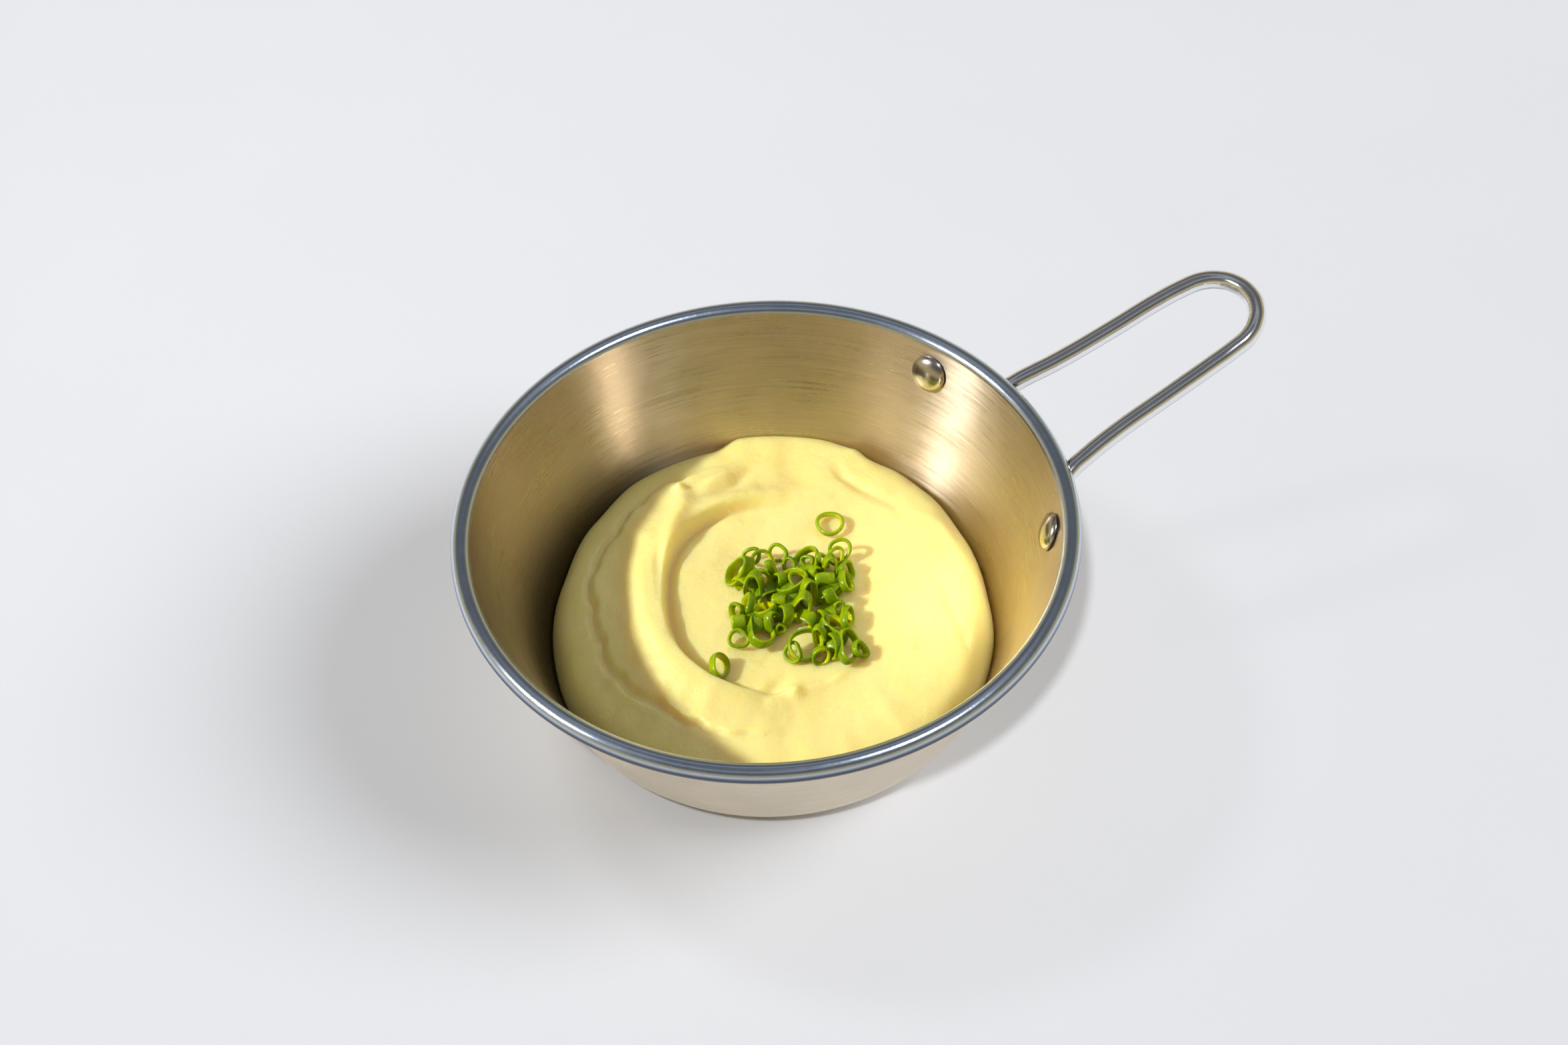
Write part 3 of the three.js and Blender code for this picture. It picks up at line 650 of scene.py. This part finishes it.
def mash_height(x, y):
    """Height of the mash's surface over the bowl's underside."""
    x, y = np.asarray(x, dtype=float), np.asarray(y, dtype=float)
    across, turn_round = np.hypot(x, y), np.arctan2(y, x)
    contact = contact_height(turn_round)
    edge = wall_radius(contact, CLEARANCE)
    left = smooth(-0.2, 0.9, -np.cos(turn_round))
    height = np.full(x.shape, MASH_LEVEL)

    hollow_x, hollow_y = x - HOLLOW["x"], y - HOLLOW["y"]
    power = HOLLOW["power"]
    past = (np.abs(hollow_x) ** power + np.abs(hollow_y) ** power) ** (1 / power) - HOLLOW["radius"]
    facing = np.cos(np.arctan2(hollow_y, hollow_x) - math.radians(RIDGE_TURN))
    flank = np.exp(-((np.maximum(past - RIDGE_FACE, 0) / RIDGE_FLANK) ** 2))
    crease = np.exp(-(((past + RIDGE_FACE) / RIDGE_CREASE_WIDTH) ** 2))
    raised = RIDGE_HEIGHT * smooth(-RIDGE_FACE, RIDGE_FACE, past) * flank
    height += smooth(-0.1, 0.75, facing) * (raised - RIDGE_CREASE * crease)

    fold_x, fold_y = x - FOLD["x"], y - FOLD["y"]
    fold_turn = np.arctan2(fold_y, fold_x)
    ragged = sum(size * np.sin(count * fold_turn + shift) for size, count, shift in FOLD_WAVES)
    fold_past = np.hypot(fold_x, fold_y) - FOLD["radius"] - ragged
    height += FOLD["step"] * left * (smooth(-FOLD["width"], FOLD["width"], -fold_past) - 0.5)
    height -= FOLD["groove"] * left * np.exp(-(((fold_past - FOLD["width"]) / 0.9) ** 2))
    for size, width, points in CRESTS:
        height += size * crest(x, y, points, width)
    for size, width, tip_x, tip_y in TIPS:
        height += size * np.exp(-((x - tip_x) ** 2 + (y - tip_y) ** 2) / width**2)

    rolled = np.exp(-np.maximum(edge - across, 0) / EDGE_ROLL)
    return height + (contact - height) * rolled


# %% Press a ball of mash into the bowl
SURFACE_SHARE = 0.86
MASH_SEGMENTS = 288
MASH_ROUNDS = 150

bpy.ops.object.select_all(action="DESELECT")
bpy.ops.mesh.primitive_uv_sphere_add(segments=MASH_SEGMENTS, ring_count=MASH_ROUNDS, radius=1)
mash = start("mash")
ball = np.empty(len(mash.data.vertices) * 3)
mash.data.vertices.foreach_get("co", ball)
ball = ball.reshape(-1, 3)
turn_round = np.arctan2(ball[:, 1], ball[:, 0])
down = np.arccos(np.clip(ball[:, 2], -1, 1)) / np.pi
brim = wall_radius(contact_height(turn_round), CLEARANCE)
outwards = np.clip(down / SURFACE_SHARE, 0, 1)
across = brim * (1 - (1 - outwards) ** 1.12)
x, y = across * np.cos(turn_round), across * np.sin(turn_round)
height = mash_height(x, y)

floor_height = SHEET + CLEARANCE
sunk = np.clip((down - SURFACE_SHARE) / (1 - SURFACE_SHARE), 0, 1)
body_height = floor_height + (height - floor_height) * np.clip(1 - sunk * 1.25, 0, 1)
body_across = wall_radius(body_height, CLEARANCE) * np.clip((1 - sunk) * 5, 0, 1)
in_body = down >= SURFACE_SHARE
across = np.where(in_body, body_across, across)
height = np.where(in_body, body_height, height)


# %% Small lumps and strokes
def roughness_at(px, py):
    """Soft unevenness and fine drag marks, mostly under half a millimetre."""
    lumps = noise.noise(Vector((px * 0.09, py * 0.09, 3.0))) * 0.45
    grain = noise.noise(Vector((px * 0.33, py * 0.33, 7.0))) * 0.14
    turn = math.atan2(py - HOLLOW["y"], px - HOLLOW["x"])
    reach = math.hypot(px - HOLLOW["x"], py - HOLLOW["y"])
    outer = min(max((reach - HOLLOW["radius"]) / 8, 0), 1)
    combed = noise.noise(Vector((math.cos(turn) * 9, math.sin(turn) * 9, reach * 0.05))) * 0.3
    return lumps + grain + combed * outer


x, y = across * np.cos(turn_round), across * np.sin(turn_round)
unevenness = np.array([roughness_at(px, py) for px, py in zip(x, y)])
clear_of_wall = smooth(0.0, 4.0, brim - across) * ~in_body
height = height + unevenness * clear_of_wall
placed = np.column_stack((x, y, height)) * MM
mash.data.vertices.foreach_set("co", placed.ravel())
mash.data.update()
mash.data.transform(serving)
bpy.ops.object.shade_smooth()
print("mash faces:", len(mash.data.polygons))

# %% [markdown]
# ## The mash's finish
# Buttery mash lets light in a little way and is moist on top. Subsurface scattering
# gives the soft glow in its shadows, a fairly low roughness the wet sheen, and very fine
# noise the starch grain. The yellow is warm and pale: too orange, and it turns to custard.

# %% Mash material
mash_shader = Shader(
    "mash_moist", Subsurface_Weight=1.0, Subsurface_Scale=0.0045, Coat_Roughness=0.3
)
mash_shader.surface.inputs["Subsurface Radius"].default_value = (1.0, 0.62, 0.12)
mash_place = mash_shader.place()
butter = mash_shader.noise(mash_place, 0.07, 3.0, 0.55)
grain = mash_shader.noise(mash_place, 1.6, 3.0, 0.6)
drag = mash_shader.noise(mash_place, 0.5, 4.0, 0.6)
mash_shader.set("Base Color", mash_shader.blend(butter, rgb(252, 225, 134), rgb(253, 235, 160)))
mash_shader.set("Roughness", 0.42 + (drag - 0.5) * 0.3)
mash_shader.set("Coat Weight", 0.2 + (drag - 0.5) * 0.8)
mash_shader.bump(grain * 0.5 + drag, 0.4, 0.7)
add_finish(mash, mash_shader)
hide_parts("mashed_potato")
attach(mash, "root")

# %% [markdown]
# ## Spring onion
# The garnish is the green leaf cut across into short tubes. Each has a dark green skin, a
# pale inner wall and a wet cut edge, and most are squashed or bent by the knife. One
# open cylinder, given its wall by Solidify, makes a ring, and Solidify also hands the
# inner wall and the cut edge materials of their own.


# %% Leaf finishes
def leaf(name, dark, bright, roughness):
    shader = Shader(
        name, Subsurface_Weight=0.5, Subsurface_Scale=0.0012, Coat_Roughness=0.1,
        Specular_IOR_Level=0.15,
    )
    shader.surface.inputs["Subsurface Radius"].default_value = (0.7, 1.0, 0.1)
    where = shader.place()
    patches = shader.noise(where, 0.22, 2.0)
    veins = shader.noise(where, 2.2, 2.0)
    uneven = (patches - 0.5) * 2.6 + (veins - 0.5) * 0.7 + 0.5
    shader.set("Base Color", shader.blend(uneven, dark, bright))
    shader.set("Roughness", roughness + (veins - 0.5) * 0.2)
    shader.set("Coat Weight", 0.2 + (patches - 0.5) * 0.6)
    shader.bump(veins, 0.05, 0.7)
    return shader


skin = leaf("onion_skin", rgb(84, 116, 0), rgb(142, 166, 0), 0.3)
inner_wall = leaf("onion_inner_wall", rgb(144, 166, 0), rgb(212, 204, 16), 0.34)
cut_edge = leaf("onion_cut_edge", rgb(104, 138, 0), rgb(158, 178, 6), 0.3)

# %% [markdown]
# ## Chopping and scattering
# The rings lie in loose patches, some flat and open, some on edge, some squashed. The
# places of the patches are given one by one, as a cook's hand would drop them, and each
# ring's small irregularities come from one seeded draw, so every run is the same.

# %% One ring
ONION_RADIUS = 2.8
ONION_WALL = 0.85
ONION_LENGTH = 1.9
chance = np.random.default_rng(7)


def onion_ring(x, y, lift, turn=0, tilt=0, size=1.0, oval=1.0, length=ONION_LENGTH):
    radius = ONION_RADIUS * size
    bpy.ops.object.select_all(action="DESELECT")
    bpy.ops.mesh.primitive_cylinder_add(
        vertices=26, radius=radius * MM, depth=length * MM, end_fill_type="NOTHING"
    )
    ring = bpy.context.object
    bpy.ops.object.mode_set(mode="EDIT")
    bpy.ops.mesh.select_all(action="SELECT")
    bpy.ops.transform.resize(value=(oval, 1 / oval, 1), center_override=(0, 0, 0))
    leave_edit()
    drawn = chance.uniform((0, 0.02, -0.12, -0.06, 0), (6.28, 0.08, 0.12, 0.10, 0.24))
    phase, kink, skew, flare, pinch = drawn
    for vertex in ring.data.vertices:
        around = math.atan2(vertex.co.y, vertex.co.x)
        end = vertex.co.z / (length * MM)
        swell = 1 + kink * math.cos(3 * around + phase) + kink * math.cos(2 * around - phase)
        swell += flare * end + pinch * math.exp(4 * (math.cos(around - phase) - 1))
        vertex.co.x *= swell
        vertex.co.y *= swell
        vertex.co.z += skew * vertex.co.x + 0.25 * kink * radius * MM * math.cos(2 * around + phase)
    wall = ring.modifiers.new("wall", "SOLIDIFY")
    wall.thickness = ONION_WALL * MM
    wall.offset = -1
    wall.use_even_offset = True
    wall.material_offset = 1
    wall.material_offset_rim = 2
    soften = ring.modifiers.new("soften", "SUBSURF")
    soften.levels = soften.render_levels = 2
    add_finish(ring, skin, inner_wall, cut_edge)
    for name in ("wall", "soften"):
        bpy.ops.object.modifier_apply(modifier=name)
    turned = Matrix.Rotation(math.radians(turn), 4, "Z")
    tilted = Matrix.Rotation(math.radians(tilt), 4, "Y")
    at = Vector((x, y, float(mash_height(x, y)) + lift)) * MM
    ring.data.transform(serving @ Matrix.Translation(at) @ turned @ tilted)
    bpy.ops.object.shade_smooth()
    return ring


def gather(name, rings):
    bpy.ops.object.select_all(action="DESELECT")
    for ring in rings:
        ring.select_set(True)
    bpy.context.view_layer.objects.active = rings[0]
    if len(rings) > 1:
        bpy.ops.object.join()
    return start(name)


# %% The heap: x, y and lift over the mash in mm, turn and tilt in degrees
HEAP = (
    # upper left, thin open rings
    dict(x=-3.1, y=11.3, lift=2.0, turn=240, tilt=50, size=0.7, length=1.1),
    dict(x=-1.2, y=9.6, lift=2.3, turn=290, tilt=35, size=0.9, length=1.2),
    dict(x=2.1, y=11.9, lift=2.1, turn=250, tilt=45, size=0.75, length=1.2),
    dict(x=0.8, y=7.6, lift=1.8, turn=10, tilt=78, size=0.75, oval=1.3, length=1.7),
    dict(x=4.4, y=8.8, lift=1.7, turn=230, tilt=58, size=0.65, length=1.1),
    # squashed pieces at the left
    dict(x=-5.9, y=6.7, lift=2.0, turn=200, tilt=60, size=1.05, oval=1.3, length=3.2),
    dict(x=-3.1, y=2.2, lift=2.1, turn=250, tilt=70, oval=1.3, length=3.0),
    dict(x=-1.2, y=4.4, lift=1.9, turn=300, tilt=65, size=0.9, oval=1.3, length=2.2),
    # upper middle, one ring inside another
    dict(x=8.1, y=9.2, lift=2.3, turn=200, tilt=22, size=1.05, length=2.2),
    dict(x=8.3, y=8.8, lift=2.4, turn=230, tilt=48, size=0.55, length=1.8),
    dict(x=4.6, y=3.5, lift=2.7, turn=150, tilt=15, size=1.25, length=2.2),
    dict(x=5.8, y=3.6, lift=3.1, turn=285, tilt=32, size=0.72, length=1.7),
    dict(x=1.8, y=3.8, lift=1.9, turn=200, tilt=72, size=0.85, oval=1.2, length=2.2),
    dict(x=9.6, y=5.4, lift=1.9, turn=330, tilt=70, size=0.8, oval=1.2),
    # upper right, nested rings and bands
    dict(x=15.0, y=11.9, lift=2.1, turn=240, tilt=45, size=0.9, length=1.1),
    dict(x=14.0, y=10.0, lift=2.3, turn=280, tilt=35, size=0.72, length=1.1),
    dict(x=11.2, y=9.0, lift=1.8, turn=330, tilt=75, size=0.75, oval=1.3, length=1.5),
    dict(x=12.7, y=7.0, lift=2.4, turn=275, tilt=75, size=0.85, oval=1.35, length=2.4),
    dict(x=15.9, y=6.5, lift=2.0, turn=330, tilt=60, size=0.75, length=1.7),
    dict(x=11.4, y=3.8, lift=2.5, turn=0, tilt=88, size=0.55, length=4.6),
    dict(x=15.6, y=3.3, lift=2.2, turn=0, tilt=60, size=0.85, oval=0.85, length=1.7),
    # centre
    dict(x=2.0, y=-1.0, lift=2.2, turn=350, tilt=85, size=0.6, length=3.2),
    dict(x=7.8, y=0.0, lift=2.6, turn=300, tilt=70, oval=1.3, length=2.4),
    dict(x=6.6, y=-3.1, lift=2.5, turn=260, tilt=80, oval=1.4, length=3.2),
    dict(x=2.7, y=-4.9, lift=1.8, turn=200, tilt=75, size=0.9, oval=1.2, length=2.6),
    dict(x=12.5, y=-1.2, lift=2.4, turn=20, tilt=72, size=0.85, oval=1.3, length=2.6),
    dict(x=13.9, y=-3.2, lift=2.1, turn=280, tilt=50, size=0.5, length=1.8),
    dict(x=10.4, y=-6.5, lift=1.9, turn=190, tilt=70, size=0.8, oval=0.8, length=1.7),
    # left lobe
    dict(x=-6.8, y=-3.3, lift=1.7, turn=200, tilt=55, size=0.7, length=1.7),
    dict(x=-6.5, y=-6.3, lift=1.8, turn=0, tilt=85, size=0.6, length=3.2),
    dict(x=-4.4, y=-1.9, lift=2.2, turn=180, tilt=65, size=0.8, length=1.8),
    dict(x=-1.1, y=-3.7, lift=2.3, turn=120, tilt=30, size=0.95, length=2.2),
    dict(x=-2.2, y=-9.1, lift=2.0, turn=20, tilt=28, size=1.2, oval=0.85, length=2.3),
    dict(x=0.5, y=-6.4, lift=1.9, turn=330, tilt=68, size=0.85, length=2.0),
    dict(x=1.6, y=-7.6, lift=1.4, turn=300, tilt=60, size=0.5, length=1.6),
    dict(x=-6.7, y=-10.2, lift=1.5, turn=260, tilt=30, size=0.8, length=1.3),
    # right lobe
    dict(x=12.5, y=-8.7, lift=2.6, turn=30, tilt=30, size=1.0, oval=0.88, length=2.3),
    dict(x=15.4, y=-6.3, lift=2.2, turn=350, tilt=55, size=0.85, oval=0.8),
    dict(x=9.6, y=-11.0, lift=2.9, turn=250, tilt=78, size=0.75, oval=1.3, length=2.4),
    dict(x=12.3, y=-13.4, lift=1.9, turn=200, tilt=70, length=2.2),
    dict(x=15.1, y=-13.4, lift=2.3, turn=350, tilt=38, size=1.15, oval=0.8, length=2.2),
    dict(x=17.4, y=-14.4, lift=1.8, turn=350, tilt=55, size=0.75, length=1.7),
    dict(x=6.5, y=-13.1, lift=2.3, turn=300, tilt=22, size=1.25, oval=0.95, length=2.1),
    dict(x=3.9, y=-14.2, lift=1.8, turn=215, tilt=50, size=0.8, length=1.2),
    dict(x=9.6, y=-15.2, lift=1.6, turn=280, tilt=70, size=0.75, length=1.8),
    # broad pieces that lie low and close the gaps
    dict(x=-4.4, y=4.4, lift=1.1, turn=230, tilt=82, size=0.85, oval=0.75, length=3.8),
    dict(x=-0.4, y=1.9, lift=1.1, turn=300, tilt=84, size=0.85, oval=0.75, length=3.6),
    dict(x=3.4, y=1.7, lift=1.3, turn=20, tilt=78, size=0.9, oval=0.72, length=4.0),
    dict(x=2.9, y=-2.6, lift=1.1, turn=340, tilt=84, size=0.85, oval=0.75, length=3.6),
    dict(x=8.4, y=5.6, lift=1.4, turn=15, tilt=80, size=0.85, oval=0.75, length=3.8),
    dict(x=12.2, y=1.2, lift=1.2, turn=320, tilt=78, size=0.85, oval=0.72, length=3.6),
    dict(x=11.9, y=-4.4, lift=1.1, turn=10, tilt=84, size=0.8, oval=0.75, length=3.2),
    dict(x=7.2, y=-5.2, lift=1.1, turn=50, tilt=82, size=0.8, oval=0.75, length=3.2),
    dict(x=-3.6, y=-6.0, lift=1.1, turn=30, tilt=84, size=0.8, oval=0.75, length=3.4),
    dict(x=12.9, y=-11.2, lift=1.2, turn=330, tilt=80, size=0.8, oval=0.75, length=3.4),
)
LONE_RINGS = (
    dict(x=13.3, y=20.1, lift=1.0, turn=0, tilt=4, size=1.07, oval=1.02, length=1.2),
    dict(x=-10.7, y=-17.0, lift=1.7, turn=345, tilt=42, size=0.95, oval=0.95, length=2.1),
)

heap = gather("spring_onion", [onion_ring(**ring) for ring in HEAP])
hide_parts("spring_onion_heap")
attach(heap, "root")
for number, settings in enumerate(LONE_RINGS, start=1):
    lone = gather(f"spring_onion_lone_{number}", [onion_ring(**settings)])
    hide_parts(f"spring_onion_ring_{number}")
    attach(lone, "root")
print("rings:", len(HEAP) + len(LONE_RINGS), "faces:", len(heap.data.polygons))

# %% [markdown]
# ## Floor and light
# A plain pale floor shows the outline, and steel shows whatever is around it, so the
# surroundings matter as much as the lamps: a dim sky, warm below the horizon, with one
# bright band high up that the polished wire and lip pick out as thin lines. A hard key
# from the left draws the lip's shadow on the mash. Each lamp serves one thing only, as
# in a studio where every light is flagged off from what it shouldn't reach.

# %% Floor
bpy.ops.object.select_all(action="DESELECT")
bpy.ops.mesh.primitive_plane_add(size=6.0, location=(0, 0, 0))
floor = start("floor")
floor_shader = Shader("floor_paper", Roughness=0.9, Specular_IOR_Level=0.1)
paper = floor_shader.noise(floor_shader.place(), 0.02, 2.0)
floor_shader.set("Base Color", floor_shader.blend(paper, rgb(221, 222, 226), rgb(224, 225, 229)))
add_finish(floor, floor_shader)

# %% Surroundings
scene = bpy.context.scene
scene.view_settings.view_transform = "Standard"
world = bpy.data.worlds.new("studio")
scene.world = world
world.use_nodes = True
sky = world.node_tree
direction = sky.nodes.new("ShaderNodeTexCoord")
split = sky.nodes.new("ShaderNodeSeparateXYZ")
sky.links.new(direction.outputs["Generated"], split.inputs[0])
ramp = sky.nodes.new("ShaderNodeValToRGB")
sky.links.new(split.outputs["Z"], ramp.inputs["Fac"])
SKY = (
    (0.0, (0.53, 0.43, 0.20, 1)),
    (0.3, (0.44, 0.37, 0.21, 1)),
    (0.5, (0.125, 0.123, 0.125, 1)),
    (0.80, (0.105, 0.108, 0.115, 1)),
    (0.86, (0.30, 0.31, 0.32, 1)),
    (0.89, (0.30, 0.31, 0.32, 1)),
    (0.94, (0.12, 0.125, 0.135, 1)),
    (1.0, (0.12, 0.125, 0.135, 1)),
)
while len(ramp.color_ramp.elements) < len(SKY):
    ramp.color_ramp.elements.new(1.0)
for element, (position, color) in zip(ramp.color_ramp.elements, SKY):
    element.position = position
    element.color = color
background = sky.nodes["Background"]
sky.links.new(ramp.outputs["Color"], background.inputs["Color"])
background.inputs["Strength"].default_value = 1.0


# %% Lamps
BOWL_MIDDLE = 0.03


def collect(name, members):
    group = bpy.data.collections.new(name)
    for member in members:
        group.objects.link(member)
    return group


def lamp(name, kind, direction_from, energy, color, lit, distance=1.0, **settings):
    """A lamp in a direction on the serving's axes, whose light reaches some pieces alone."""
    bpy.ops.object.select_all(action="DESELECT")
    bpy.ops.object.light_add(type=kind)
    light = bpy.context.object
    light.name = name
    light.data.energy = energy
    light.data.color = color
    for key, value in settings.items():
        setattr(light.data, key, value)
    towards = (serving @ Vector(direction_from)).normalized()
    light.location = towards * distance + Vector((0, 0, BOWL_MIDDLE))
    light.rotation_euler = towards.to_track_quat("Z", "Y").to_euler()
    light.light_linking.receiver_collection = collect("lit_by_" + name, lit)
    return light


pieces = [o for o in scene.objects if o.type == "MESH" and o is not floor]
steel = [o for o in pieces if o.data.materials[0].name.startswith("steel")]
food = [o for o in pieces if o not in steel]

# %% Lamps of the food and the steel
KEY_FROM = (-1.342, -0.19, 1.0)
lamp("key", "SUN", KEY_FROM, 4.25, (1.0, 0.94, 0.86), food, angle=math.radians(3))
lamp("glint", "SUN", KEY_FROM, 2.0, (0.97, 0.98, 1.0), steel, angle=math.radians(8))
lamp(
    "side", "AREA", (0.37, -0.15, 0.85), 11.0, (0.95, 0.97, 1.0), steel, distance=2.0,
    shape="DISK", size=0.3,
)
# the window behind gives the food its wet sheen and nothing else
window = lamp(
    "window", "AREA", (0.05, 0.7, 0.72), 4.0, (1.0, 0.98, 0.95), food, distance=2.0,
    shape="DISK", size=0.4,
)
window.visible_diffuse = False
lamp("fill", "SUN", (0.3, -0.2, 0.93), 0.5, (1.0, 0.96, 0.9), food, angle=math.radians(90))
# the sunlit wall at the right throws warm light back on the mash
bounce = lamp(
    "bounce", "AREA", (1, 0.05, 0.5), 0.011, (1.0, 0.9, 0.7), food,
    shape="RECTANGLE", size=0.012, size_y=0.06,
)
bounce.location = serving @ Vector((0.0495, 0.002, 0.028))
bounce.visible_camera = bounce.visible_glossy = False

# %% Lamps of the floor: from the front, softly from the right, and near the far left corner
floor_front = lamp(
    "floor_front", "SUN", (-0.13, -0.61, 1.0), 1.45, (0.97, 0.985, 1.0), [floor],
    angle=math.radians(3),
)
floor_front.light_linking.blocker_collection = collect("floor_front_is_blocked_by", [bowl])
lamp(
    "floor_soft", "SUN", (0.75, -0.05, 0.62), 2.15, (0.975, 0.985, 1.0), [floor],
    angle=math.radians(36),
)
lamp(
    "floor_far", "AREA", (-0.2, 0.11, 0.32), 0.2, (0.97, 0.985, 1.0), [floor], distance=0.4,
    shape="DISK", size=0.08,
)
